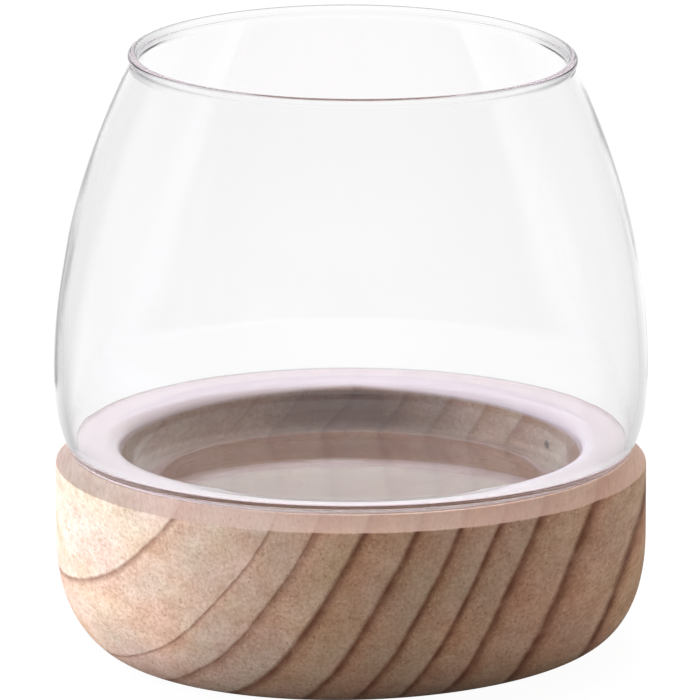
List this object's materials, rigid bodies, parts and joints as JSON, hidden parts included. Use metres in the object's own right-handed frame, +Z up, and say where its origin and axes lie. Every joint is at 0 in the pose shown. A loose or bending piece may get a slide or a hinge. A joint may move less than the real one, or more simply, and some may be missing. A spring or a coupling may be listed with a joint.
{
  "type": "hydroponic vase",
  "caption": "Clear glass vessel with a rounded rim, standing with its sunken well in the round recess of a turned wooden base.",
  "frame": {"origin": "centre of the flat underside of the wooden base", "axes": "+Z up along the common axis of base and vessel; +Y points away from the viewer of the picture"},
  "size_m": [0.1508, 0.1508, 0.1541],
  "materials": {
    "clear_glass": "clear blown glass, fire-polished rim",
    "turned_wood": "pale ring-porous wood, turned and finely sanded, unvarnished"
  },
  "bodies": {
    "base": {"wooden_base": "turned_wood"},
    "vessel": {"glass_vessel": "clear_glass"}
  },
  "joints": [
    {"name": "glass_lift", "type": "slide", "parent": "base", "child": "vessel", "axis": [0, 0, 1], "range_m": [0, 0.07]}
  ]
}
